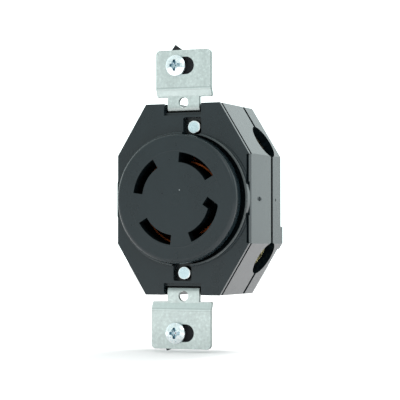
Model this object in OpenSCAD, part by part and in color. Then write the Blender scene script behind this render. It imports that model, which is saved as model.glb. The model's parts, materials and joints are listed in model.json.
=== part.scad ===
// Flush-mounting four-wire locking receptacle on a steel strap.
// Front faces -Y, Z is up. The origin lies midway between the two tapped
// plate-screw holes, on the front surface of the strap's necks.

/* [Body] */
// Width of the octagonal body
body_w = 44.5; // [43.5:0.5:46]
// Height of the octagonal body
body_h = 59.7; // [59:0.1:60.2]
// Length of the octagon's top and bottom edges
top_edge = 25; // [24:0.5:26]
// Length of the octagon's side edges
side_edge = 27.8; // [27:0.2:28.6]
// Distance of the face in front of the strap's necks
face_ahead = 0.8; // [0.6:0.1:1]
// Distance from the face to the seam between the two housings
seam_depth = 20; // [19.6:0.1:20.4]
// Distance from the face to the rear face
body_depth = 28; // [27.5:0.5:29]

/* [Boss] */
// Radius of the round boss that fills the wall plate's opening
boss_r = 20.1; // [19.9:0.1:20.2]
// Height of the boss above the face
boss_h = 5.4; // [5:0.1:6]
// Rounding of the boss's front rim
boss_round = 1.3; // [0.8:0.1:1.5]
// Thickness of the boss's front wall, behind which the blades turn
front_wall = 3.2; // [2.8:0.1:3.4]

/* [Blade slots] */
// Inner radius of the curved slots
slot_in = 11.3; // [11.1:0.1:11.4]
// Outer radius of the curved slots
slot_out = 14.4; // [14.3:0.1:14.5]
// How far a blade turns behind the front wall, in degrees
lock_turn = 17; // [14:1:17]

/* [Strap] */
// Thickness of the strap's sheet
strap_t = 1.2; // [1:0.1:1.3]
// Distance between the plate-screw holes
plate_pitch = 60.325; // [60.3:0.005:60.35]
// Distance between the mounting slots
mount_pitch = 83.34; // [83.3:0.01:83.4]
// Radius of the tapped plate-screw holes
plate_hole_r = 1.6; // [1.5:0.05:1.65]

/* [Terminals] */
// Radius of the screw wells in the sloping sides
well_r = 5.7; // [5.4:0.1:5.9]
// Travel of each clamp plate from open to closed
clamp_travel = 3.3; // [3:0.1:3.3]
// Radius of each wire-entry hole
wire_r = 1.8; // [1.6:0.05:1.85]

/* [Hidden] */
$fn = 64;

charcoal = [0.17, 0.18, 0.19];
galvanised = [0.74, 0.78, 0.77];
zinc = [0.82, 0.86, 0.88];
brass = [0.82, 0.63, 0.28];
copper_brass = [0.72, 0.40, 0.22];
silver_plate = [0.85, 0.85, 0.83];
fibre_black = [0.05, 0.05, 0.05];

// Layers from front to back
face_y = -face_ahead;
boss_y = face_y - boss_h;
rim_back = face_y + 1.2;
rim_gap = 1.2;
rim_gap_deep = 0.6;
side_in = 0.8;
seam_half = 0.8;
plate_back = face_y + 3;
plug_back = face_y + 6.2;
bridge_y = plate_back + 0.1;
bridge_back = bridge_y + strap_t;
seam_y = face_y + seam_depth;
rear_y = face_y + body_depth;
leaf_y = boss_y + front_wall + 5;
base_y = seam_y - 4.8;
base_t = 1.2;
over = 1;

// Blade slots as [first angle, last angle], counter-clockwise from +X, seen from the front
neutral_arc = [122, 172.5];
hot_y_arc = [29, 85];
hot_x_arc = [-149, -97];
ground_arc = [-68, -9];
arcs = [hot_x_arc, hot_y_arc, neutral_arc, ground_arc];
hook_tip = [9.9, -0.7];
hook_w = 2.9;
hook_turn = -36;

// Terminals: which side and which end of the body each one is on
corner_hot_x = [-1, -1];
corner_hot_y = [1, 1];
corner_neutral = [-1, 1];
corner_ground = [1, -1];
corners = [corner_hot_x, corner_hot_y, corner_neutral, corner_ground];

slope_dx = (body_w - top_edge) / 2;
slope_dz = (body_h - side_edge) / 2;
slope_len = sqrt(slope_dx * slope_dx + slope_dz * slope_dz);
slope_tilt = atan2(slope_dz, slope_dx);
well_along = 5.4;
well_x = body_w / 2 - well_along * slope_dx / slope_len;
well_z = side_edge / 2 + well_along * slope_dz / slope_len;

// Depths below the sloping side, measured along a terminal screw's axis
head_top = 2.1;
head_base = 4.5;
clamp_top = 4.6;
clamp_t = 1.2;
plate_top = clamp_top + clamp_t + 3.8;
plate_t = 1.2;
shank_end = 13.4;
relief_end = shank_end + clamp_travel + 0.6;
pocket_half = 5.8;
pocket_deep = 5;
collar_r = 20.7;
collar_h = 0.4;
collar_shift = 2.2;
ridge_r = 20.95;
ridge_h = 1;
ridge_round = 0.3;
ridge_shifts = [-0.95, 1.2];
moat_r = 20.3;
boss_step = 1.3;
base_in = 0.4;
wire_depth = clamp_top + clamp_t + 1.9;
wire_side = 3.9;
screw_r = 2;

// Rivets as [x, z]
rivet_spots = [[3.5, 22.4], [0.2, -23]];
rivet_r = 1.55;
rivet_head_r = 2.2;
rivet_floor_y = face_y + 2.3;
rivet_tail_y = rear_y - 1.2;
pocket_left = 3.2;
pocket_right = 2.9;
pocket_z = [19.95, 25.45];

// Strap
neck_half = 5.4;
neck_end = 27.2;
ear_in = 31.9;
ear_out = 46.6;
ear_ahead = 0.9;
bend = 0.8;
ear_right = 9.6;
ear_left_upper = 9;
ear_left_lower = 10.5;
ear_round = 1.4;
crease_z = 33.5;
crease_half = 1;
notch_half = 6.3;
notch_z = 26.2;
slot_r = 2.7;
slot_half = 3.9;
ring_in = 17.2;
ring_out = 19.6;

// Mounting screws and their retaining washers
mount_screw_r = 1.75;
mount_neck_r = 1.5;
mount_x = -1.9;
mount_head_r = 3.25;
mount_head_h = 2.2;
mount_dome_r = 5.2;
mount_len = 19;
ear_front = -ear_ahead;
ear_back = ear_front + strap_t;
float_gap = 0.1;
neck_y = 1.4;
washer_upper = [9.7, 9.7];
washer_lower = [11.3, 7.8];
washer_t = 0.8;
washer_turn_upper = 54;
washer_turn_lower = 20;

// ---- helpers ----

// Extrudes an outline drawn in X and Z from y0 to y1
module slab(y0, y1)
    translate([0, y1, 0])
        rotate([90, 0, 0])
            linear_extrude(y1 - y0)
                children();

// A round bar or bore along Y at x, z
module round_y(x, z, r, y0, y1)
    translate([x, y1, z])
        rotate([90, 0, 0])
            cylinder(r = r, h = y1 - y0);

// Turns a profile of radius and forward height about the Y axis, starting at y
module turned(y)
    translate([0, y, 0])
        rotate([90, 0, 0])
            rotate_extrude($fn = 96)
                children();

function octagon_points(inset) =
    let (w = body_w / 2 - inset, h = body_h / 2 - inset,
         cut = inset * (1 - tan(slope_tilt / 2)),
         rise = inset * (1 - tan(45 - slope_tilt / 2)),
         t = top_edge / 2 - inset + rise, s = side_edge / 2 - inset + cut)
    [[t, h], [w, s], [w, -s], [t, -h], [-t, -h], [-w, -s], [-w, s], [-t, h]];

module octagon(inset = 0)
    polygon(octagon_points(inset));

module arc_band(r0, r1, a0, a1) {
    far = r1 * 1.5;
    mid = (a0 + a1) / 2;
    intersection() {
        difference() {
            circle(r = r1, $fn = 96);
            circle(r = r0, $fn = 96);
        }
        polygon([[0, 0], far * [cos(a0), sin(a0)], far * [cos(mid), sin(mid)],
                 far * [cos(a1), sin(a1)]]);
    }
}

module rounded_rect(x0, x1, z0, z1, r) {
    translate([x0 + r, z0])
        square([x1 - x0 - 2 * r, z1 - z0]);
    translate([x0, z0 + r])
        square([x1 - x0, z1 - z0 - 2 * r]);
    for (x = [x0 + r, x1 - r], z = [z0 + r, z1 - r])
        translate([x, z])
            circle(r = r, $fn = 24);
}

// Places children at a terminal: +Z runs out of the well, +Y runs to the rear
module at_terminal(corner)
    mirror([corner[0] < 0 ? 1 : 0, 0, 0])
        mirror([0, 0, corner[1] < 0 ? 1 : 0])
            translate([well_x, seam_y, well_z])
                rotate([0, slope_tilt, 0])
                    children();

// A point at a terminal, d below the sloping side and s along it, as [x, z]
function terminal_spot(corner, d, s) =
    [corner[0] * (well_x - d * sin(slope_tilt) - s * cos(slope_tilt)),
     corner[1] * (well_z - d * cos(slope_tilt) + s * sin(slope_tilt))];

// ---- shapes shared by the housings ----

// Everything that a terminal needs cut out of the housings
module terminal_cut() {
    translate([0, 0, -clamp_top])
        cylinder(r = well_r, h = clamp_top + over);
    translate([-pocket_half, -pocket_deep, -plate_top - plate_t - 0.1])
        cube([2 * pocket_half, 2 * pocket_deep, plate_top + plate_t + 0.1 - clamp_top + 0.2]);
    translate([0, 0, -relief_end])
        cylinder(r = screw_r + 0.6, h = relief_end - plate_top);
}

module rivet_bores()
    for (spot = rivet_spots)
        round_y(spot[0], spot[1], rivet_r + 0.15, face_y, rear_y + over);

// The room each contact takes, with its blade's turning room
module contact_room(y0, y1)
    slab(y0, y1)
        for (arc = arcs)
            arc_band(slot_in - 0.9, slot_out + 1.2, arc[0] - lock_turn, arc[1] + 2);

// ---- moulded housing ----

module slot_outlines() {
    for (arc = arcs)
        arc_band(slot_in, slot_out, arc[0], arc[1]);
    translate(hook_tip)
        rotate(hook_turn)
            translate([0, -hook_w / 2])
                square([4.2, hook_w]);
}

module boss_profile() {
    square([boss_r - boss_round, boss_h]);
    square([boss_r - 0.7, boss_h - boss_round]);
    square([boss_r - base_in, boss_step]);
    translate([0, boss_step + 0.3])
        square([boss_r, boss_h - boss_round - boss_step - 0.3]);
    translate([boss_r - boss_round, boss_h - boss_round])
        circle(r = boss_round, $fn = 32);
}

module ridge_profile() {
    square([ridge_r - ridge_round, ridge_h]);
    square([ridge_r, ridge_h - ridge_round]);
    translate([ridge_r - ridge_round, ridge_h - ridge_round])
        circle(r = ridge_round, $fn = 32);
}

// Low oval step round the boss
module collar()
    intersection() {
        for (side = [-1, 1])
            round_y(side * collar_shift, 0, collar_r, face_y - collar_h, face_y + 0.2);
        slab(face_y - 3, face_y + 1)
            octagon();
    }

// Narrow ridge on the step, whose sides run down past the middle of the cover's vertical edges
module ridge()
    for (shift = ridge_shifts)
        translate([shift, 0, 0]) {
            turned(face_y)
                ridge_profile();
            round_y(0, 0, ridge_r, face_y - 0.1, rim_back);
        }

module moat()
    for (shift = ridge_shifts)
        round_y(shift, 0, moat_r, face_y - 2, rim_back - 0.1);

// The cover's right-hand vertical edge stands back from the housing's side
module side_relief()
    translate([body_w / 2 - side_in + 1, face_y, 0])
        cube([2, 6, side_edge - 0.5], center = true);

module cover_plates() {
    difference() {
        union() {
            slab(face_y, rim_back)
                octagon();
            collar();
        }
        side_relief();
    }
    slab(rim_back - 0.1, plate_back)
        octagon(2.1);
    ridge();
}

module rivet_pockets()
    for (spot = rivet_spots)
        slab(face_y - 3, rivet_floor_y)
            mirror([0, spot[1] < 0 ? 1 : 0])
                rounded_rect(spot[0] - pocket_left, spot[0] + pocket_right,
                             pocket_z[0], pocket_z[1], 0.6);

module face_cover()
    color(charcoal)
        difference() {
            union() {
                difference() {
                    cover_plates();
                    rivet_pockets();
                    moat();
                }
                turned(face_y + 2)
                    translate([0, 2])
                        boss_profile();
                round_y(0, 0, boss_r - base_in, face_y - 0.5, plate_back);
                round_y(0, 0, ring_in - 0.5, plate_back - 1, plug_back);
            }
            slab(boss_y - over, boss_y + front_wall + over)
                slot_outlines();
            contact_room(boss_y + front_wall, plug_back + over);
            slab(boss_y + front_wall, boss_y + front_wall + 5)
                arc_band(8.3, slot_in, ground_arc[1] - lock_turn - 12, ground_arc[1] + 12);
            for (end = [0, 1])
                mirror([0, 0, end]) {
                    slab(face_y - over, rim_back + 0.1)
                        translate([-notch_half, notch_z])
                            square([2 * notch_half, 10]);
                    slab(face_y, plate_back + over)
                        translate([-notch_half, neck_end - 0.1])
                            square([2 * notch_half, 10]);
                }
            rivet_bores();
        }

// Room for the two necks where they turn back into the housing
module neck_room()
    for (end = [-1, 1])
        slab(face_y, bridge_back + 0.15)
            translate([-notch_half, end > 0 ? 24 : -34])
                square([2 * notch_half, 10]);

// Grooves that leave room for the wall plate's screws
module plate_screw_room()
    for (z = [-plate_pitch / 2, plate_pitch / 2])
        round_y(0, z, 2.5, 0, rear_y + over);

module link_room() {
    slab(bridge_back - 0.1, bridge_back + 0.85)
        translate([-2.9, -26])
            square([12.1, 7.6]);
    slab(bridge_back, base_y)
        translate([5.1, -20.4])
            square([3.9, 1.5]);
    slab(base_y - 0.9, base_y + 0.1)
        translate([5.1, -20.4])
            square([3.9, 7.4]);
}

module arm_outline(corner, grow) {
    near = 12.5 - grow;
    rotate(atan2(corner[1] * 13.3, corner[0] * 10.7))
        translate([near, -3.4 - grow])
            square([17.4 + grow - near, 6.8 + 2 * grow]);
}

module main_housing()
    color(charcoal)
        difference() {
            union() {
                slab(rim_back, seam_y)
                    octagon();
                side_lip();
            }
            slab(rim_back - over, bridge_back + 0.1)
                octagon(1.95);
            round_y(0, 0, ring_in - 0.3, bridge_back - over, plug_back + 0.1);
            contact_room(plug_back - over, seam_y + over);
            slab(base_y - 0.15, seam_y + over)
                for (corner = corners)
                    arm_outline(corner, 0.25);
            for (corner = corners)
                at_terminal(corner)
                    terminal_cut();
            neck_room();
            plate_screw_room();
            link_room();
            rivet_bores();
            seam_step(seam_y - seam_half, seam_y + over, 0.7);
            difference() {
                seam_step(rim_back - over, rim_back + rim_gap, rim_gap_deep);
                slab(face_y, seam_y)
                    square([body_w + 4, side_edge - 0.3], center = true);
            }
            for (side = [0, 1])
                mirror([side, 0, 0])
                    side_chamfer();
            for (side = [-1, 1])
                mould_mark(side, face_y + 8.9, 0.75);
        }

// Thin lips in front of the housing along its right-hand side, clear of the cover's ridge
module side_lip()
    for (end = [0, 1])
        mirror([0, 0, end])
            translate([body_w / 2 - 0.5, -0.1, 5.2])
                cube([0.5, 1, side_edge / 2 - 5.6]);

// Slopes the front edge of the housing and its lips along one vertical side
module side_chamfer()
    translate([body_w / 2, 0, -side_edge / 2 + 0.15])
        linear_extrude(side_edge - 0.3)
            polygon([[-0.3, -0.5], [-0.3, -0.1], [0, 1.3], [0.5, 1.3], [0.5, -0.5]]);

// Cuts a small step round the outside, which shows as a seam
module seam_step(y0, y1, deep)
    difference() {
        slab(y0, y1)
            octagon(-2);
        slab(y0 - over, y1 + over)
            octagon(deep);
    }

module mould_mark(side, y, r)
    translate([side * body_w / 2, y, 0])
        rotate([0, 90, 0])
            cylinder(r = r, h = 0.3, center = true);

// Raised pads round the outer wire entries of the two lower terminals
module entry_pads()
    slab(rear_y - over, rear_y + 2.9)
        intersection() {
            octagon(0.4);
            for (side = [-1, 1])
                translate([side * 16.5, -12])
                    square([12, 7.2], center = true);
        }

module wire_entries()
    for (corner = corners, s = [-wire_side, wire_side]) {
        spot = terminal_spot(corner, wire_depth, s);
        round_y(spot[0], spot[1], wire_r, seam_y, rear_y + 4);
    }

module rear_cover()
    color(charcoal)
        difference() {
            union() {
                difference() {
                    slab(seam_y, rear_y)
                        octagon();
                    seam_step(seam_y - over, seam_y + seam_half, 0.7);
                }
                slab(base_y + base_t + 0.05, seam_y + over)
                    for (arc = arcs)
                        arc_band(slot_in + 0.3, slot_out - 0.3, arc[0] + 6, arc[1] - 6);
                entry_pads();
            }
            for (corner = corners)
                at_terminal(corner)
                    terminal_cut();
            wire_entries();
            plate_screw_room();
            round_y(0, 0, 7.5, seam_y - over, seam_y + 4);
            rivet_bores();
            for (spot = rivet_spots)
                round_y(spot[0], spot[1], 3.2, rivet_tail_y, rear_y + over);
            for (side = [-1, 1])
                mould_mark(side, face_y + 23.3, 0.4);
        }

// ---- strap ----

// A bent strip, drawn in Y and Z as straight runs with round corners
module strip(points, t) {
    for (i = [0 : len(points) - 2]) {
        step = points[i + 1] - points[i];
        translate(points[i])
            rotate(atan2(step[1], step[0]))
                translate([0, -t / 2])
                    square([norm(step), t]);
    }
    for (point = points)
        translate(point)
            circle(r = t / 2, $fn = 24);
}

module strap_run() {
    mid = strap_t / 2;
    web_z = neck_end + mid;
    rotate([90, 0, 90])
        linear_extrude(40, center = true)
            strip([[bridge_y + mid, 10], [bridge_y + mid, web_z], [mid + bend, web_z],
                   [mid + 0.3 * bend, web_z + 0.3 * bend], [mid, web_z + bend],
                   [mid, crease_z - crease_half], [mid - ear_ahead, crease_z + crease_half],
                   [mid - ear_ahead, ear_out + 2]], strap_t);
}

module strap_outline(ear_left) {
    translate([-8, 16])
        square([16, 9.6]);
    translate([-neck_half, 20])
        square([2 * neck_half, ear_in - 19]);
    rounded_rect(-ear_left, ear_right, ear_in, ear_out, ear_round);
    rounded_rect(-ear_left, ear_right, ear_in, ear_in + 6, 0.5);
}

module strap_end(ear_left)
    difference() {
        intersection() {
            strap_run();
            slab(-5, 8)
                strap_outline(ear_left);
        }
        round_y(0, 0, ring_in, -5, 8);
        round_y(0, plate_pitch / 2, plate_hole_r, -2, 1.8);
        slab(ear_front - over, ear_back + over)
            translate([0, mount_pitch / 2])
                mount_slot();
    }

module mount_slot() {
    run = slot_half - slot_r;
    translate([-run, -slot_r])
        square([2 * run, 2 * slot_r]);
    for (x = [-run, run])
        translate([x, 0])
            circle(r = slot_r);
}

module mounting_strap()
    color(galvanised)
        difference() {
            union() {
                strap_end(ear_left_upper);
                mirror([0, 0, 1])
                    strap_end(ear_left_lower);
                slab(bridge_y, bridge_back)
                    difference() {
                        circle(r = ring_out, $fn = 96);
                        circle(r = ring_in, $fn = 96);
                    }
            }
            rivet_bores();
        }

// ---- contacts ----

leaf_t = 0.6;

// Two curved spring leaves, a base and an arm to the terminal plate
module contact(arc, corner) {
    slab(leaf_y, base_y + base_t / 2) {
        arc_band(slot_in + 0.1, slot_in + 0.1 + leaf_t, arc[0] + 1, arc[1] - 1);
        arc_band(slot_out + 0.1 - leaf_t, slot_out + 0.1, arc[0] + 1, arc[1] - 1);
    }
    slab(base_y, base_y + base_t)
        arc_band(slot_in - 0.2, slot_out + 0.4, arc[0] + 0.5, arc[1] - 0.5);
    difference() {
        union() {
            contact_arm(corner);
            at_terminal(corner)
                translate([-4.8, base_y + 0.2 - seam_y, -plate_top - plate_t])
                    cube([9.6, 8.8, plate_t]);
        }
        at_terminal(corner)
            translate([0, 0, -plate_top - 3])
                cylinder(r = screw_r + 0.05, h = 5);
    }
}

module contact_arm(corner)
    difference() {
        slab(base_y + 0.1, base_y + base_t - 0.1)
            arm_outline(corner, 0);
        at_terminal(corner)
            translate([-10, -10, -plate_top - plate_t / 2])
                cube([20, 20, 10]);
    }

module contact_hot_x() color(copper_brass) contact(hot_x_arc, corner_hot_x);
module contact_hot_y() color(copper_brass) contact(hot_y_arc, corner_hot_y);
module contact_neutral() color(copper_brass) contact(neutral_arc, corner_neutral);
module contact_ground() color(copper_brass) contact(ground_arc, corner_ground);

// Strip that bonds the ground contact to the strap
module ground_link()
    color(brass)
        difference() {
            union() {
                slab(bridge_back, bridge_back + 0.7)
                    translate([-2.6, -25.7])
                        square([11.4, 7]);
                slab(bridge_back, base_y)
                    translate([5.4, -20.1])
                        square([3.4, 0.8]);
                slab(base_y - 0.7, base_y)
                    translate([5.4, -20.1])
                        square([3.4, 5.6]);
            }
            rivet_bores();
        }

// ---- terminals ----

// Pressure plate, dished on its wire side and drilled for the screw
module clamp_plate(corner)
    at_terminal(corner)
        difference() {
            translate([-5.5, -4.2, -clamp_top - clamp_t])
                cube([11, 8.4, clamp_t]);
            translate([0, 0, -clamp_top - clamp_t - over])
                cylinder(r = screw_r + 0.05, h = clamp_t + 2 * over);
            for (s = [-wire_side, wire_side])
                translate([s, 0, -clamp_top - clamp_t - 1])
                    rotate([90, 0, 0])
                        cylinder(r = 1.4, h = 12, center = true);
        }

module clamp_plate_hot_x() color(brass) clamp_plate(corner_hot_x);
module clamp_plate_hot_y() color(brass) clamp_plate(corner_hot_y);
module clamp_plate_neutral() color(silver_plate) clamp_plate(corner_neutral);
module clamp_plate_ground() color(brass) clamp_plate(corner_ground);

// Binding-head screw with a cross recess and a driving slot
module terminal_screw(corner)
    at_terminal(corner)
        difference() {
            union() {
                translate([0, 0, -head_base])
                    cylinder(r = 4.1, h = head_base - head_top - 0.5);
                translate([0, 0, -head_top - 0.5])
                    cylinder(r1 = 4.1, r2 = 3.6, h = 0.5);
                translate([0, 0, -shank_end])
                    cylinder(r = screw_r, h = shank_end - head_base + 0.2);
            }
            translate([-5, -0.6, -head_top - 1.1])
                cube([10, 1.2, 2]);
            translate([-0.6, -2.2, -head_top - 1.1])
                cube([1.2, 4.4, 2]);
        }

module terminal_screw_hot_x() color(brass) terminal_screw(corner_hot_x);
module terminal_screw_hot_y() color(brass) terminal_screw(corner_hot_y);
module terminal_screw_neutral() color(silver_plate) terminal_screw(corner_neutral);
module terminal_screw_ground() color(brass) terminal_screw(corner_ground);

// ---- fasteners ----

module rivet(x, z) {
    round_y(x, z, rivet_head_r, rivet_floor_y - 1.4, rivet_floor_y);
    round_y(x, z, rivet_r, rivet_floor_y - 0.5, rivet_tail_y + 0.5);
    round_y(x, z, 2.6, rivet_tail_y, rivet_tail_y + 1);
}

module assembly_rivets()
    color(zinc)
        for (spot = rivet_spots)
            rivet(spot[0], spot[1]);

// Domed outline of the head, half of which is turned about the screw's axis
module mount_head_profile()
    intersection() {
        square([mount_head_r, mount_head_h]);
        translate([0, mount_head_h - mount_dome_r])
            circle(r = mount_dome_r);
    }

module mounting_screw(z) {
    under = ear_front - float_gap;
    color(zinc)
        difference() {
            translate([mount_x, 0, z])
                union() {
                    turned(under)
                        mount_head_profile();
                    round_y(0, 0, mount_neck_r, under - 0.5, neck_y + 0.5);
                    round_y(0, 0, mount_screw_r, neck_y, under + mount_len);
                }
            translate([mount_x, under - mount_head_h, z]) {
                for (turn = [0, 90])
                    rotate([0, turn, 0])
                        cube([3.5, 3, 0.8], center = true);
                rotate([0, 45, 0])
                    cube([1.9, 2.2, 1.9], center = true);
                cube([2 * mount_head_r + 1, 1.3, 1.1], center = true);
            }
        }
}

module mounting_screw_upper() mounting_screw(mount_pitch / 2);
module mounting_screw_lower() mounting_screw(-mount_pitch / 2);

module retaining_washer(z, size, turn)
    color(fibre_black)
        translate([mount_x, 0, z])
            difference() {
                slab(ear_back + float_gap, ear_back + float_gap + washer_t)
                    rotate(turn)
                        square(size, center = true);
                round_y(0, 0, mount_neck_r + 0.05, -5, 5);
            }

module retaining_washer_upper()
    retaining_washer(mount_pitch / 2, washer_upper, washer_turn_upper);
module retaining_washer_lower()
    retaining_washer(-mount_pitch / 2, washer_lower, washer_turn_lower);

face_cover();
main_housing();
rear_cover();
mounting_strap();
contact_hot_x();
contact_hot_y();
contact_neutral();
contact_ground();
ground_link();
clamp_plate_hot_x();
clamp_plate_hot_y();
clamp_plate_neutral();
clamp_plate_ground();
terminal_screw_hot_x();
terminal_screw_hot_y();
terminal_screw_neutral();
terminal_screw_ground();
assembly_rivets();
mounting_screw_upper();
mounting_screw_lower();
retaining_washer_upper();
retaining_washer_lower();
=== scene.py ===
import json
import math

import bmesh
import bpy
from mathutils import Matrix, Vector


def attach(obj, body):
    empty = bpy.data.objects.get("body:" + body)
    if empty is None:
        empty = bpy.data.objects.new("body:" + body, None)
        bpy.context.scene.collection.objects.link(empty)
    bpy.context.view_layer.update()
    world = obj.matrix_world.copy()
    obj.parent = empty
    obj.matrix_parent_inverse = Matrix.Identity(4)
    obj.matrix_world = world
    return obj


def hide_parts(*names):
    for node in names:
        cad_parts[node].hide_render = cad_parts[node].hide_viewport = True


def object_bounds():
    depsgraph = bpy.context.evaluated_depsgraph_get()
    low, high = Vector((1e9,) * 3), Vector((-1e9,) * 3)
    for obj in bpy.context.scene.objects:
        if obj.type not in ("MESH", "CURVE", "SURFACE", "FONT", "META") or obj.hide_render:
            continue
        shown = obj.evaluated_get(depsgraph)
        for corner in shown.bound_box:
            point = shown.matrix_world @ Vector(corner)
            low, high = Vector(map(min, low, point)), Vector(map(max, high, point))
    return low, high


MM = 0.001

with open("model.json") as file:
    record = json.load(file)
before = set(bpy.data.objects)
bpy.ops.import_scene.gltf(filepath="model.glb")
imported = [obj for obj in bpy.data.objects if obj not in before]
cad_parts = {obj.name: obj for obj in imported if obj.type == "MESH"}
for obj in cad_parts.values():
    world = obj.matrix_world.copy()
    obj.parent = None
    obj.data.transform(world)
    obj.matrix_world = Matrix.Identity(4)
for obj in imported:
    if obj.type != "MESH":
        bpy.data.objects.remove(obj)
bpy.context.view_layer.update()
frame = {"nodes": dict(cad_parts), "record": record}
nodes = frame["nodes"]

body_of = {}
for body_name, members in frame["record"]["behaviour"]["bodies"].items():
    for member in members:
        body_of[member] = body_name


# ---- sizes and places that the looks need, in mm ----

HALF_W, HALF_H, SLOPE_OFF = 22.25, 29.85, 26.23
SLOPE = (0.8532, 0.5216)
WELL = (19.4336, 19.2, 18.5074)
WELL_REACH = 6.0
RIDGE_R, RIDGE_FRONT, RIDGE_SHIFTS = 20.95, -1.8, (-0.95, 1.2)
# where the painted highlight on the collar's ridge fades in, x in mm
RIDGE_HIGHLIGHT_SPAN = (5.0, 13.0)
SLOT_R, SLOT_FRONT = 15.7, -5.9
MOAT = (19.5, 21.5)
BASE_R, BASE_FRONT = 19.9, -2.45
RELIEF = (21.3, 21.6)
BACK_EDGE = 20.5
EAR_BEND, BEND_WIDTH, CREASES = 33.6, 2.6, (34.1, 34.8)
# where painted shade darkens the strap's necks, |z| in mm
NECK_ROOT = (28.0, 29.6)
SCREWS = {"upper": (-1.9, 41.67), "lower": (-1.9, -41.67)}
RIVETS = [(3.5, 22.4), (0.2, -23.0)]
RIVET_EDGE = (1.55, 1.85)
# where a black dot paints the shade of a notch on a rivet, and its radius
RIVET_NOTCH, RIVET_NOTCH_R = (4.35, 20.65), 0.36
RIVET_TAIL = (10.0, 12.0)


# ---- materials ----

class Shader:
    """A small node graph round one Principled shader."""

    def __init__(self, name):
        self.mat = bpy.data.materials.new(name)
        self.mat.use_nodes = True
        self.tree = self.mat.node_tree
        self.bsdf = self.tree.nodes["Principled BSDF"]
        coords = self.tree.nodes.new("ShaderNodeTexCoord")
        self.place = coords.outputs["Object"]

    def link(self, a, b):
        self.tree.links.new(a, b)

    def stretched(self, scale):
        node = self.tree.nodes.new("ShaderNodeMapping")
        node.inputs["Scale"].default_value = scale
        self.link(self.place, node.inputs["Vector"])
        return node.outputs["Vector"]

    def noise(self, size_mm, detail=3.0, rough=0.55, offset=0.0, stretch=None):
        """Noise whose features are about size_mm wide, or longer along an axis stretched by under 1."""
        node = self.tree.nodes.new("ShaderNodeTexNoise")
        node.noise_dimensions = "4D"
        node.inputs["W"].default_value = offset
        node.inputs["Scale"].default_value = 1.0 / (size_mm * MM)
        node.inputs["Detail"].default_value = detail
        node.inputs["Roughness"].default_value = rough
        self.link(self.stretched(stretch) if stretch else self.place, node.inputs["Vector"])
        return node.outputs["Fac"]

    def cells(self, size_mm):
        """A flat random colour for each cell of about size_mm."""
        node = self.tree.nodes.new("ShaderNodeTexVoronoi")
        node.inputs["Scale"].default_value = 1.0 / (size_mm * MM)
        self.link(self.place, node.inputs["Vector"])
        return node.outputs["Color"]

    def ramp(self, value, stops):
        """Colour stops, each (position, grey or colour)."""
        node = self.tree.nodes.new("ShaderNodeValToRGB")
        ramp = node.color_ramp
        while len(ramp.elements) < len(stops):
            ramp.elements.new(0.5)
        for element, (at, colour) in zip(ramp.elements, stops):
            element.position = at
            if isinstance(colour, (int, float)):
                colour = (colour, colour, colour)
            element.color = (*colour, 1.0)
        self.link(value, node.inputs["Fac"])
        return node.outputs["Color"]

    def mix(self, fac, a, b):
        node = self.tree.nodes.new("ShaderNodeMix")
        node.data_type = "RGBA"
        for socket, value in ((node.inputs[0], fac), (node.inputs[6], a), (node.inputs[7], b)):
            if hasattr(value, "links"):
                self.link(value, socket)
            elif isinstance(value, (int, float)):
                socket.default_value = value
            else:
                socket.default_value = (*value, 1.0)
        return node.outputs[2]

    def span(self, value, low, high, from_low=0.0, from_high=1.0):
        """Maps from_low...from_high onto low...high and holds the ends."""
        node = self.tree.nodes.new("ShaderNodeMapRange")
        node.inputs["From Min"].default_value = from_low
        node.inputs["From Max"].default_value = from_high
        node.inputs["To Min"].default_value = low
        node.inputs["To Max"].default_value = high
        self.link(value, node.inputs["Value"])
        return node.outputs["Result"]

    def bump(self, *layers):
        """Each layer is (height, strength, depth in mm)."""
        normal = None
        for height, strength, depth in layers:
            node = self.tree.nodes.new("ShaderNodeBump")
            node.inputs["Strength"].default_value = strength
            node.inputs["Distance"].default_value = depth * MM
            self.link(height, node.inputs["Height"])
            if normal is not None:
                self.link(normal, node.inputs["Normal"])
            normal = node.outputs["Normal"]
        self.link(normal, self.bsdf.inputs["Normal"])

    def math(self, operation, a, b=0.0):
        node = self.tree.nodes.new("ShaderNodeMath")
        node.operation = operation
        for socket, value in zip(node.inputs, (a, b)):
            if hasattr(value, "links"):
                self.link(value, socket)
            else:
                socket.default_value = value
        return node.outputs[0]

    def axis(self, name):
        """One coordinate of the surface point, in metres."""
        split = self.tree.nodes.new("ShaderNodeSeparateXYZ")
        self.link(self.place, split.inputs["Vector"])
        return split.outputs[name]

    def across(self, centre_mm):
        """X and Z measured from a line along Y through the centre (x, z)."""
        return (self.math("SUBTRACT", self.axis("X"), centre_mm[0] * MM),
                self.math("SUBTRACT", self.axis("Z"), centre_mm[1] * MM))

    def length(self, a, b):
        return self.math("SQRT", self.math("ADD", self.math("MULTIPLY", a, a), self.math("MULTIPLY", b, b)))

    def radius(self, centre_mm=(0.0, 0.0)):
        return self.length(*self.across(centre_mm))

    def band(self, value, middle_mm, width_mm):
        """1 where the value equals the middle, fading to 0 at half the width on each side."""
        away = self.math("ABSOLUTE", self.math("SUBTRACT", value, middle_mm * MM))
        return self.span(away, 1.0, 0.0, 0.0, width_mm * MM / 2)

    def patch(self, y_mm, z_mm, length_mm, height_mm):
        """How far out of an oval on the body's side: 0 in its middle, 1 on its edge."""
        y = self.math("DIVIDE", self.math("SUBTRACT", self.axis("Y"), y_mm * MM), length_mm * MM)
        z = self.math("DIVIDE", self.math("SUBTRACT", self.axis("Z"), z_mm * MM), height_mm * MM)
        return self.length(y, z)

    def dot(self, centre_mm, radius_mm):
        """1 inside a small disc, fading out at its edge."""
        return self.span(self.radius(centre_mm), 1.0, 0.0, radius_mm * MM * 0.6, radius_mm * MM)

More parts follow.
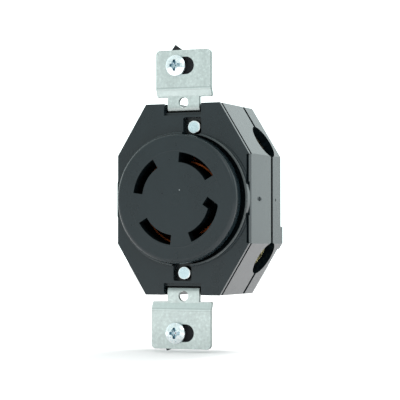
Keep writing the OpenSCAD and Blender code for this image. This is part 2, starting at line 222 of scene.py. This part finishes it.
    def darken_in_recesses(self, reach_mm, tone, painted_shade, start=0.35, end=0.95):
        """Painted shade: mixes the colour towards a dark colour where ambient occlusion finds the surface
        within a recess.
        """
        node = self.tree.nodes.new("ShaderNodeAmbientOcclusion")
        node.samples = 8
        node.inputs["Distance"].default_value = reach_mm * MM
        return self.mix(self.span(node.outputs["AO"], 0.0, 1.0, start, end), painted_shade, tone)

    def colour(self, value):
        self.link(value, self.bsdf.inputs["Base Color"])

    def rough(self, value):
        self.link(value, self.bsdf.inputs["Roughness"])

    def fixed(self, **values):
        """Sets the shader's own sockets, with _ for each space in a name."""
        for key, value in values.items():
            self.bsdf.inputs[key.replace("_", " ")].default_value = value


def scaled(colour, factor):
    """A colour made darker or paler."""
    return tuple(min(1.0, c * factor) for c in colour)


def moulded(name, base, offset, rough=0.30, painted_shade=(3.0, 0.1, 0.6), rings=(), dots=(), smudge=None):
    """Moulded nylon: faint flow marks, a fine satin texture and a few pale specks. Shade is painted
    into recesses, with its reach, start and end given as one (reach, start, end) argument. Each ring
    is (radius, width) in mm, a fine raised line round the boss's axis, and each dot (x, z, radius) is a
    small pale speck. A smudge (y, z, half length, half height) is a dull patch on the vertical sides."""
    s = Shader(name)
    flow = s.noise(9.0, 4.0, 0.6, offset=offset, stretch=(1.0, 0.6, 0.35))
    cloud = s.noise(2.2, 4.0, 0.55, offset=offset + 3.0)
    grain = s.noise(0.3, 2.0, 0.5, offset=offset + 7.0)
    tone = s.ramp(flow, [(0.3, scaled(base, 0.85)), (0.7, scaled(base, 1.15))])
    tone = s.mix(s.span(cloud, 0.0, 0.35, 0.35, 0.75), tone, scaled(base, 1.22))
    specks = s.ramp(s.noise(0.45, 1.0, 0.4, offset=offset + 11.0), [(0.74, 0.0), (0.80, 0.5)])
    tone = s.mix(specks, tone, scaled(base, 1.9))
    for x, z, radius in dots:
        tone = s.mix(s.dot((x, z), radius), tone, (0.42, 0.45, 0.45))
    # painted shade: the colour darkens towards near black in recesses
    s.colour(s.darken_in_recesses(painted_shade[0], tone, scaled(base, 0.05), painted_shade[1], painted_shade[2]))
    satin = s.span(s.mix(0.35, flow, cloud), rough - 0.03, rough + 0.04, 0.35, 0.65)
    if smudge:
        satin = s.math("ADD", satin, s.span(s.patch(*smudge), 0.5, 0.0, 0.6, 1.0))
    s.rough(satin)
    layers = [(grain, 0.02, 0.02), (cloud, 0.03, 0.03)]
    for radius, width in rings:
        layers.append((s.band(s.radius(), radius, width), 0.5, 0.05))
    s.bump(*layers)
    s.fixed(IOR=1.5, Specular_IOR_Level=0.45)
    return s.mat


def ridge_highlight(name, base, pale, offset):
    """The collar's narrow ridge: a painted highlight, pale in patches on its right-hand side, plain on the
    left.
    """
    s = Shader(name)
    patch = s.noise(1.6, 4.0, 0.6, offset=offset)
    reach = s.span(s.axis("X"), 0.0, 1.0, RIDGE_HIGHLIGHT_SPAN[0] * MM, RIDGE_HIGHLIGHT_SPAN[1] * MM)
    highlit = s.math("MULTIPLY", reach, s.span(patch, 0.7, 1.0, 0.3, 0.6))
    s.colour(s.mix(highlit, base, pale))
    s.rough(s.span(patch, 0.22, 0.32, 0.3, 0.7))
    s.bump((patch, 0.05, 0.02))
    s.fixed(IOR=1.5, Specular_IOR_Level=0.6)
    return s.mat


def recess(name, base, offset):
    """Painted shade: the same nylon made dark, mottled, rough and barely reflecting, for the faces down
    inside slots, wells and gaps, so they stay dark.
    """
    s = Shader(name)
    dark_mottle = s.noise(1.2, 4.0, 0.6, offset=offset)
    s.colour(s.ramp(dark_mottle, [(0.35, scaled(base, 0.2)), (0.75, scaled(base, 0.7))]))
    s.rough(s.span(dark_mottle, 0.55, 0.8, 0.3, 0.7))
    s.bump((dark_mottle, 0.2, 0.03))
    s.fixed(IOR=1.5, Specular_IOR_Level=0.02)
    return s.mat


def edge_wear_and_highlight(name, base, offset):
    """The same nylon on the broken edges: paler and a little smoother, partly wear from handling and partly
    a painted highlight along the edges.
    """
    s = Shader(name)
    patch = s.noise(3.0, 4.0, 0.6, offset=offset)
    grain = s.noise(0.2, 2.0, 0.6, offset=offset + 2.0)
    s.colour(s.ramp(patch, [(0.35, scaled(base, 1.25)), (0.7, scaled(base, 1.9))]))
    s.rough(s.span(patch, 0.30, 0.44, 0.3, 0.7))
    s.bump((grain, 0.15, 0.02))
    s.fixed(IOR=1.5, Specular_IOR_Level=0.55)
    return s.mat


def galvanised(name, base, offset, rough=0.40):
    """Zinc-coated sheet: soft spangle, rolling streaks along the strip and small dull spots. Painted light
    and shade: the lower bend lighter, the upper bend darker, dark lines along the creases, shade where
    the necks run into the body and shade in recesses."""
    s = Shader(name)
    streak = s.noise(1.3, 5.0, 0.65, offset=offset, stretch=(1.0, 1.0, 0.09))
    spangle = s.cells(2.1)
    cloud = s.noise(4.5, 4.0, 0.6, offset=offset + 2.0)
    fine = s.noise(0.25, 3.0, 0.6, offset=offset + 5.0)
    tone = s.ramp(streak, [(0.28, scaled(base, 0.86)), (0.72, scaled(base, 1.07))])
    shade = s.ramp(spangle, [(0.0, scaled(base, 0.90)), (1.0, scaled(base, 1.06))])
    tone = s.mix(0.4, tone, shade)
    tone = s.mix(s.span(cloud, 0.0, 0.45, 0.45, 0.8), tone, scaled(base, 0.76))
    blotch = s.noise(0.9, 3.0, 0.6, offset=offset + 8.0)
    tone = s.mix(s.span(blotch, 0.0, 0.75, 0.52, 0.74), tone, scaled(base, 1.28))
    tone = s.mix(s.span(blotch, 0.7, 0.0, 0.27, 0.46), tone, scaled(base, 0.74))
    # painted light and shade on the bends: the lower bend lighter, the upper bend darker
    height = s.axis("Z")
    along = s.math("ABSOLUTE", height)
    slope = s.band(along, EAR_BEND, BEND_WIDTH)
    above = s.math("GREATER_THAN", height, 0.0)
    upper = scaled((base[0] * 0.94, base[1], base[2]), 0.82)
    bend_light_and_shade = s.mix(above, scaled(base, 1.10), upper)
    tone = s.mix(s.math("MULTIPLY", s.span(slope, 0.0, 0.75, 0.0, 0.15), 0.8), tone, bend_light_and_shade)
    # painted shade: dark lines along the creases of the bends
    for crease in CREASES:
        tone = s.mix(s.math("MULTIPLY", s.band(along, crease, 0.45), 0.45), tone, scaled(base, 0.5))
    # painted shade: the strap darkens where its necks run into the body
    tone = s.mix(s.span(along, 0.6, 0.0, NECK_ROOT[0] * MM, NECK_ROOT[1] * MM), tone, scaled(base, 0.4))
    # painted shade: the colour darkens in recesses
    s.colour(s.darken_in_recesses(1.5, tone, scaled(base, 0.25), 0.1, 0.6))
    s.rough(s.span(streak, rough - 0.08, rough + 0.10, 0.25, 0.75))
    s.bump((streak, 0.25, 0.02), (fine, 0.25, 0.012), (cloud, 0.2, 0.05), (blotch, 0.3, 0.02))
    s.fixed(Metallic=1.0, IOR=1.5, Anisotropic=0.2)
    return s.mat


def plated(name, base, offset, rough=0.22, painted_shade=None, marks=None):
    """Bright plate over a machined or pressed part: faint stains and tiny pits.
    marks(shader, tone) adds what a particular piece shows on top."""
    s = Shader(name)
    stain = s.noise(1.4, 4.0, 0.6, offset=offset)
    fine = s.noise(0.14, 2.0, 0.5, offset=offset + 4.0)
    pits = s.ramp(s.noise(0.22, 2.0, 0.6, offset=offset + 9.0), [(0.66, 0.0), (0.75, 1.0)])
    tone = s.ramp(stain, [(0.32, scaled(base, 0.88)), (0.66, scaled(base, 1.05))])
    tone = s.mix(s.span(pits, 0.0, 0.35), tone, scaled(base, 0.75))
    if marks:
        tone = marks(s, tone)
    # painted shade: the colour darkens in recesses, towards the given dark colour
    s.colour(s.darken_in_recesses(3.0, tone, painted_shade or scaled(base, 0.08), 0.15, 0.8))
    s.rough(s.span(stain, rough - 0.06, rough + 0.12, 0.3, 0.7))
    s.bump((fine, 0.15, 0.012), (stain, 0.12, 0.03))
    s.fixed(Metallic=1.0, IOR=1.5)
    return s.mat


def shade_and_glint_marks(centre, spot):
    """Painted shade and glints on a screw head: a broken blue-grey diamond round the recess for its shaded
    walls, painted white glints, bluish patches and a spot in the middle.
    """
    def add(s, tone):
        x, z = s.across(centre)
        square = s.math("ADD", s.math("ABSOLUTE", x), s.math("ABSOLUTE", z))
        # painted shade: the recess walls as a broken blue-grey diamond
        ring = s.band(square, 1.62, 0.62)
        broken = s.span(s.noise(0.7, 2.0, 0.6, offset=centre[1]), 0.25, 1.0, 0.42, 0.52)
        tone = s.mix(s.math("MULTIPLY", ring, broken), tone, STEEL_BLUE)
        # painted glints: small white patches
        glints = s.ramp(s.noise(0.5, 2.0, 0.5, offset=centre[1] + 5.0), [(0.56, 0.0), (0.64, 1.0)])
        tone = s.mix(glints, tone, (1.0, 1.0, 1.0))
        blue_patches = s.ramp(s.noise(0.6, 2.0, 0.5, offset=centre[1] + 9.0), [(0.60, 0.0), (0.68, 0.6)])
        tone = s.mix(blue_patches, tone, (0.25, 0.42, 0.50))
        return s.mix(s.dot(centre, 0.28), tone, spot)
    return add


def peened(centres, middle):
    """Rivet faces: the middle a little darker and mottled, inside a bright rim. Their tails at the back
    are dull. A small black dot is painted as the shade of a notch."""
    def add(s, tone):
        mottle = s.noise(0.35, 3.0, 0.6, offset=2.0)
        for centre in centres:
            inside = s.span(s.radius(centre), 1.0, 0.0, RIVET_EDGE[0] * MM, RIVET_EDGE[1] * MM)
            shade = s.ramp(mottle, [(0.35, scaled(middle, 0.86)), (0.65, scaled(middle, 1.06))])
            tone = s.mix(inside, tone, shade)
        back = s.span(s.axis("Y"), 0.0, 1.0, RIVET_TAIL[0] * MM, RIVET_TAIL[1] * MM)
        tail = s.math("MULTIPLY", back, s.span(mottle, 0.75, 1.0, 0.35, 0.65))
        tone = s.mix(tail, tone, (0.22, 0.25, 0.26))
        # painted shade: a black dot for the shade in the notch
        return s.mix(s.dot(RIVET_NOTCH, RIVET_NOTCH_R), tone, (0.02, 0.02, 0.02))
    return add


def fibre(name, offset):
    """Black vulcanised fibre: long fibres and a matt face."""
    s = Shader(name)
    strands = s.noise(0.5, 5.0, 0.7, offset=offset, stretch=(0.25, 1.0, 1.0))
    blotch = s.noise(2.5, 3.0, 0.5, offset=offset + 3.0)
    tone = s.ramp(strands, [(0.3, (0.006, 0.006, 0.008)), (0.75, (0.022, 0.022, 0.026))])
    s.colour(s.mix(s.span(blotch, 0.0, 0.5, 0.4, 0.8), tone, (0.013, 0.013, 0.017)))
    s.rough(s.span(strands, 0.55, 0.78, 0.25, 0.75))
    s.bump((strands, 0.4, 0.03))
    s.fixed(IOR=1.48, Specular_IOR_Level=0.35)
    return s.mat


CHARCOAL = (0.008, 0.015, 0.0185)
ZINC = (0.61, 0.67, 0.655)
CUT_STEEL = (0.20, 0.24, 0.23)
BRIGHT = (0.86, 0.93, 0.95)
BRASS = (0.85, 0.58, 0.20)
PALE_BRASS = (0.92, 0.84, 0.42)
# a dark brown, for the upper right terminal screw
DARK_BROWN = (0.16, 0.12, 0.07)
COPPER = (0.42, 0.10, 0.03)
NICKEL = (0.74, 0.72, 0.68)
# the blue-grey of the painted shade on the mounting screws
STEEL_BLUE = (0.10, 0.25, 0.33)

# for each node: the body's material, the broken edges' material, then any for special faces
finishes = {
    "face_cover": (moulded("face_nylon", CHARCOAL, 1.0, 0.28, (3.0, 0.05, 0.45), [(15.0, 0.5), (1.6, 0.5)],
                           [(1.35, 2.65, 0.2)]),
                   edge_wear_and_highlight("face_edges", CHARCOAL, 2.0), recess("face_recess", CHARCOAL, 3.0),
                   ridge_highlight("face_ridge", scaled(CHARCOAL, 1.3), (0.055, 0.065, 0.066), 4.0)),
    "main_housing": (moulded("housing_nylon", CHARCOAL, 13.0, 0.24, (2.0, 0.15, 0.6),
                             smudge=(8.2, 0.0, 2.2, 0.8)),
                     edge_wear_and_highlight("housing_edges", CHARCOAL, 14.0), recess("housing_recess", CHARCOAL, 15.0)),
    "rear_cover": (moulded("rear_nylon", CHARCOAL, 25.0, 0.25, (2.0, 0.15, 0.6)),
                   edge_wear_and_highlight("rear_edges", CHARCOAL, 26.0), recess("rear_recess", CHARCOAL, 27.0)),
    "mounting_strap": (galvanised("strap_zinc", ZINC, 3.0),
                       galvanised("strap_edges", scaled(ZINC, 0.5), 5.0, 0.34),
                       galvanised("strap_cuts", CUT_STEEL, 6.0, 0.45)),
    "ground_link": (plated("link_brass", BRASS, 39.0, 0.32), plated("link_edge", BRASS, 40.0, 0.25)),
    "assembly_rivets": (plated("rivet_zinc", BRIGHT, 61.0, 0.30, marks=peened(RIVETS, (0.62, 0.76, 0.80))),
                        plated("rivet_rim", (0.97, 1.0, 1.0), 62.0, 0.22)),
    "retaining_washer_upper": (fibre("washer_upper", 71.0), fibre("washer_upper_edge", 72.0)),
    "retaining_washer_lower": (fibre("washer_lower", 73.0), fibre("washer_lower_edge", 74.0)),
}
# each terminal's side, end, clamp colour and screw colour
TERMINALS = {"hot_x": (-1, -1, BRASS, BRASS), "hot_y": (1, 1, BRASS, DARK_BROWN),
             "neutral": (-1, 1, NICKEL, NICKEL), "ground": (1, -1, BRASS, PALE_BRASS)}
for number, (name, (_, _, clamp, screw)) in enumerate(TERMINALS.items()):
    seed = 80.0 + 10.0 * number
    finishes["contact_" + name] = (plated("copper_" + name, COPPER, seed, 0.30),
                                   plated("copper_edge_" + name, COPPER, seed + 1, 0.24))
    finishes["clamp_plate_" + name] = (plated("clamp_" + name, clamp, seed + 2, 0.28),
                                       plated("clamp_edge_" + name, clamp, seed + 3, 0.22))
    finishes["terminal_screw_" + name] = (plated("screw_" + name, screw, seed + 4, 0.22),
                                          plated("screw_edge_" + name, screw, seed + 5, 0.18))
for end, seed, spot in (("upper", 63.0, (0.10, 0.10, 0.10)), ("lower", 65.0, (0.45, 0.12, 0.06))):
    head_shading = shade_and_glint_marks(SCREWS[end], spot)
    finishes["mounting_screw_" + end] = (
        plated("screw_" + end, BRIGHT, seed, 0.20, STEEL_BLUE, head_shading),
        plated("screw_edge_" + end, BRIGHT, seed + 1, 0.16, STEEL_BLUE, head_shading))


# ---- which faces lie in a recess, on the ridge or on a sheared edge: p is the middle, in mm ----


def inset(p):
    """How far a point lies inside the body's eight-sided outline, in mm."""
    x, z = abs(p.x), abs(p.z)
    return min(HALF_W - x, HALF_H - z, SLOPE_OFF - SLOPE[0] * x - SLOPE[1] * z)


def in_groove(p):
    """The walls and floor of the seam and of the gap behind the cover."""
    return 0.3 < inset(p) < 0.75 and abs(p.x) > 7.0


def in_housing_recess(p, normal):
    x, z = abs(p.x) - WELL[0], abs(p.z) - WELL[2]
    along = x * SLOPE[0] + z * SLOPE[1]
    across = x * SLOPE[1] - z * SLOPE[0]
    well = math.hypot(across, p.y - WELL[1]) < WELL_REACH and along < -0.05
    front = normal.y < -0.9 and 0.2 < p.y < 0.6
    return well or front or (in_groove(p) and p.y < BACK_EDGE)


def in_face_recess(p, normal):
    r = math.hypot(p.x, p.z)
    outward = (p.x * normal.x + p.z * normal.z) / max(r, 0.001)
    if normal.y < -0.9 and p.y < 0.0:
        return False
    slot = r < SLOT_R and p.y > SLOT_FRONT
    moat = MOAT[0] < r < MOAT[1] and (outward < -0.3 or p.y > -0.75)
    base = r < BASE_R and p.y > BASE_FRONT and outward > 0.5
    edge = RELIEF[0] < p.x < RELIEF[1] and normal.x > 0.9 and abs(p.z) > 4.0
    return slot or moat or base or edge


def on_face_ridge(p, normal):
    """The front and the rounding of the narrow ridge on the collar."""
    if normal.y < -0.9:
        return abs(p.y - RIDGE_FRONT) < 0.05
    shift = RIDGE_SHIFTS[1] if p.x > 0 else RIDGE_SHIFTS[0]
    r = math.hypot(p.x - shift, p.z)
    return normal.y < -0.3 and p.y < RIDGE_FRONT + 0.4 and abs(r - RIDGE_R) < 0.4


def is_sheared(p, normal):
    return abs(normal.x) > 0.6


# for each node: the tests for its third material and any further ones
# the third material paints shade into slots, wells, gaps and the cover's sides by the seam; the face
# cover's fourth paints a highlight on its ridge
SPECIAL_FACES = {"face_cover": (in_face_recess, on_face_ridge), "main_housing": (in_housing_recess,),
                 "rear_cover": (in_housing_recess,), "mounting_strap": (is_sheared,)}


def finish_index(node, p, normal):
    for index, test in enumerate(SPECIAL_FACES.get(node, ()), start=2):
        if test(p, normal):
            return index
    return 0


# ---- pieces shaped from the CAD solids, with real broken edges ----

SHARP = math.radians(32.0)


def welded(node):
    """The node's mesh as clean flat faces, ready for its edges to be rounded."""
    bm = bmesh.new()
    bm.from_mesh(nodes[node].data)
    bm.transform(nodes[node].matrix_world)
    bmesh.ops.remove_doubles(bm, verts=bm.verts, dist=2e-7)
    bmesh.ops.dissolve_degenerate(bm, dist=1e-7, edges=bm.edges)
    bmesh.ops.dissolve_limit(bm, angle_limit=math.radians(0.6), verts=bm.verts, edges=bm.edges)
    return bm


def piece(name, bm, node, width):
    """Turns bm into the visible piece for a node and rounds its sharp edges by width, in mm."""
    mesh = bpy.data.meshes.new(name)
    bm.to_mesh(mesh)
    bm.free()
    obj = bpy.data.objects.new(name, mesh)
    bpy.context.collection.objects.link(obj)
    for material in finishes[node]:
        mesh.materials.append(material)
    bevel = obj.modifiers.new("edges", "BEVEL")
    bevel.width = width * MM
    bevel.segments = 3 if width > 0.2 else 2
    bevel.limit_method = "ANGLE"
    bevel.angle_limit = SHARP
    bevel.use_clamp_overlap = True
    bevel.material = 1
    normals = obj.modifiers.new("normals", "WEIGHTED_NORMAL")
    normals.weight = 100
    normals.keep_sharp = True
    for polygon in mesh.polygons:
        polygon.use_smooth = True
        polygon.material_index = finish_index(node, polygon.center / MM, polygon.normal)
    mesh.set_sharp_from_angle(angle=SHARP)
    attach(obj, body_of[node])
    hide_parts(node)
    return obj


# how wide each piece's edges are broken, in mm
EDGES = {
    "face_cover": 0.22, "main_housing": 0.22, "rear_cover": 0.22, "mounting_strap": 0.16,
    "contact_hot_x": 0.06, "contact_hot_y": 0.06, "contact_neutral": 0.06, "contact_ground": 0.06,
    "ground_link": 0.08,
    "clamp_plate_hot_x": 0.12, "clamp_plate_hot_y": 0.12, "clamp_plate_neutral": 0.12,
    "clamp_plate_ground": 0.12,
    "terminal_screw_hot_x": 0.10, "terminal_screw_hot_y": 0.10, "terminal_screw_neutral": 0.10,
    "terminal_screw_ground": 0.10,
    "assembly_rivets": 0.35,
    "mounting_screw_upper": 0.08, "mounting_screw_lower": 0.08,
    "retaining_washer_upper": 0.10, "retaining_washer_lower": 0.10,
}

PITCH = 0.79375
THREAD_SIDES = 24
RUN_OUT = 0.25
MOUNTING_THREAD = {"length": 16.65, "major": 1.75, "minor": 1.36}
MOUNTING_START = 1.3
TERMINAL_THREAD = {"length": 8.75, "major": 2.0, "minor": 1.6}
TERMINAL_START = 4.6


def add_thread(bm, start, axis, length, major, minor):
    """Adds a closed threaded bar, start and lengths in mm, that tapers out at both ends."""
    axis = Vector(axis).normalized()
    side = axis.orthogonal().normalized()
    other = axis.cross(side)
    profile = [(0.0, minor), (0.40, major), (0.60, major)]
    turns = int(length / PITCH) + 3
    rings = []
    for turn in range(-2, turns):
        for share, radius in profile:
            ring = []
            for step in range(THREAD_SIDES):
                angle = 2 * math.pi * step / THREAD_SIDES
                at = (turn + share + step / THREAD_SIDES) * PITCH
                inside = RUN_OUT < at < length - RUN_OUT
                r = radius if inside else minor
                spoke = side * math.cos(angle) + other * math.sin(angle)
                point = Vector(start) + axis * min(max(at, 0.0), length) + spoke * r
                ring.append(bm.verts.new(point * MM))
            rings.append(ring)
    for a, b in zip(rings, rings[1:]):
        for step in range(THREAD_SIDES - 1):
            bm.faces.new((a[step], a[step + 1], b[step + 1], b[step]))
    per_turn = len(profile)
    for index in range(len(rings) - 1 - per_turn):
        a, b = rings[index], rings[index + 1]
        c, d = rings[index + per_turn], rings[index + per_turn + 1]
        bm.faces.new((a[-1], c[0], d[0], b[-1]))
    bmesh.ops.remove_doubles(bm, verts=[v for ring in rings for v in ring], dist=1e-7)
    edges = [e for e in bm.edges if e.is_boundary]
    bmesh.ops.holes_fill(bm, edges=edges, sides=0)


def with_thread(node, start, axis, length, major, minor):
    """The node's mesh with its plain shank cut off at start and a threaded one in its place."""
    bm = welded(node)
    geom = bm.verts[:] + bm.edges[:] + bm.faces[:]
    bmesh.ops.bisect_plane(bm, geom=geom, plane_co=Vector(start) * MM, plane_no=Vector(axis),
                           clear_outer=True)
    bmesh.ops.holes_fill(bm, edges=[e for e in bm.edges if e.is_boundary], sides=0)
    add_thread(bm, start, axis, length, major, minor)
    bmesh.ops.recalc_face_normals(bm, faces=bm.faces)
    return bm


shapes = {}
for end, (x, z) in SCREWS.items():
    node = "mounting_screw_" + end
    shapes[node] = with_thread(node, (x, MOUNTING_START, z), (0, 1, 0), **MOUNTING_THREAD)
for name, (side, end, _, _) in TERMINALS.items():
    node = "terminal_screw_" + name
    inward = Vector((-side * SLOPE[0], 0, -end * SLOPE[1]))
    start = Vector((side * WELL[0], WELL[1], end * WELL[2])) + inward * TERMINAL_START
    shapes[node] = with_thread(node, start, inward, **TERMINAL_THREAD)

for node, width in EDGES.items():
    piece("look_" + node, shapes.get(node) or welded(node), node, width)


# ---- floor, lights and camera ----

FLOOR_HALF = 2.0
FLOOR_GAP = 0.0005
CAMERA_AT = (205.45, -470.49, -13.99)
CAMERA_YAW, CAMERA_PITCH, LENS = 23.01, 1.53, 148.3


def stage_floor():
    """A pale paper sheet just under the object."""
    s = Shader("paper")
    tone = s.ramp(s.noise(60.0, 2.0, 0.5), [(0.3, (0.96, 0.90, 0.905)), (0.7, (0.98, 0.925, 0.93))])
    s.colour(tone)
    s.fixed(Roughness=0.9, Specular_IOR_Level=0.1)
    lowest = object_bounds()[0].z
    bm = bmesh.new()
    bmesh.ops.create_grid(bm, x_segments=8, y_segments=8, size=FLOOR_HALF)
    bmesh.ops.translate(bm, verts=bm.verts, vec=(0, 0, lowest - FLOOR_GAP))
    mesh = bpy.data.meshes.new("floor")
    bm.to_mesh(mesh)
    bm.free()
    floor = bpy.data.objects.new("floor", mesh)
    bpy.context.collection.objects.link(floor)
    mesh.materials.append(s.mat)


def soft_light(name, place, target, size, power, tint=(1.0, 1.0, 1.0)):
    data = bpy.data.lights.new(name, "AREA")
    data.shape = "DISK"
    data.size = size
    data.energy = power
    data.color = tint
    lamp = bpy.data.objects.new(name, data)
    bpy.context.collection.objects.link(lamp)
    lamp.location = place
    lamp.rotation_mode = "QUATERNION"
    lamp.rotation_quaternion = (Vector(target) - Vector(place)).to_track_quat("-Z", "Y")


def studio():
    """An even white room, brighter behind the object, a soft key and a light on the paper behind."""
    scene = bpy.context.scene
    world = bpy.data.worlds.new("studio")
    scene.world = world
    world.use_nodes = True
    tree = world.node_tree
    background = tree.nodes["Background"]
    background.inputs["Color"].default_value = (0.90, 1.0, 0.99, 1.0)
    coords = tree.nodes.new("ShaderNodeTexCoord")
    split = tree.nodes.new("ShaderNodeSeparateXYZ")
    depth = tree.nodes.new("ShaderNodeMapRange")
    depth.interpolation_type = "SMOOTHSTEP"
    depth.inputs["From Min"].default_value = -0.3
    depth.inputs["From Max"].default_value = 0.8
    depth.inputs["To Min"].default_value = 0.95
    depth.inputs["To Max"].default_value = 1.9
    tree.links.new(coords.outputs["Generated"], split.inputs["Vector"])
    tree.links.new(split.outputs["Y"], depth.inputs["Value"])
    tree.links.new(depth.outputs["Result"], background.inputs["Strength"])
    soft_light("key", (0.42, -0.45, 0.42), (0, 0, 0), 0.35, 0.6)
    soft_light("sweep", (0.06, 0.36, 0.45), (0.06, 0.14, -0.05), 0.25, 2.2, (1.0, 0.97, 0.97))
    scene.view_settings.view_transform = "Standard"


def camera():
    """The photograph's view: from the right, level with the body and almost horizontal."""
    yaw, pitch = math.radians(CAMERA_YAW), math.radians(CAMERA_PITCH)
    forward = Vector((-math.sin(yaw) * math.cos(pitch), math.cos(yaw) * math.cos(pitch), math.sin(pitch)))
    right = Vector((math.cos(yaw), math.sin(yaw), 0.0))
    up = right.cross(forward)
    data = bpy.data.cameras.new("camera")
    data.lens = LENS
    data.sensor_width = 36.0
    data.clip_start = 0.01
    cam = bpy.data.objects.new("camera", data)
    bpy.context.collection.objects.link(cam)
    turn = Matrix((right, up, -forward)).transposed().to_4x4()
    cam.matrix_world = Matrix.Translation(Vector(CAMERA_AT) * MM) @ turn
    bpy.context.scene.camera = cam


stage_floor()
studio()
camera()
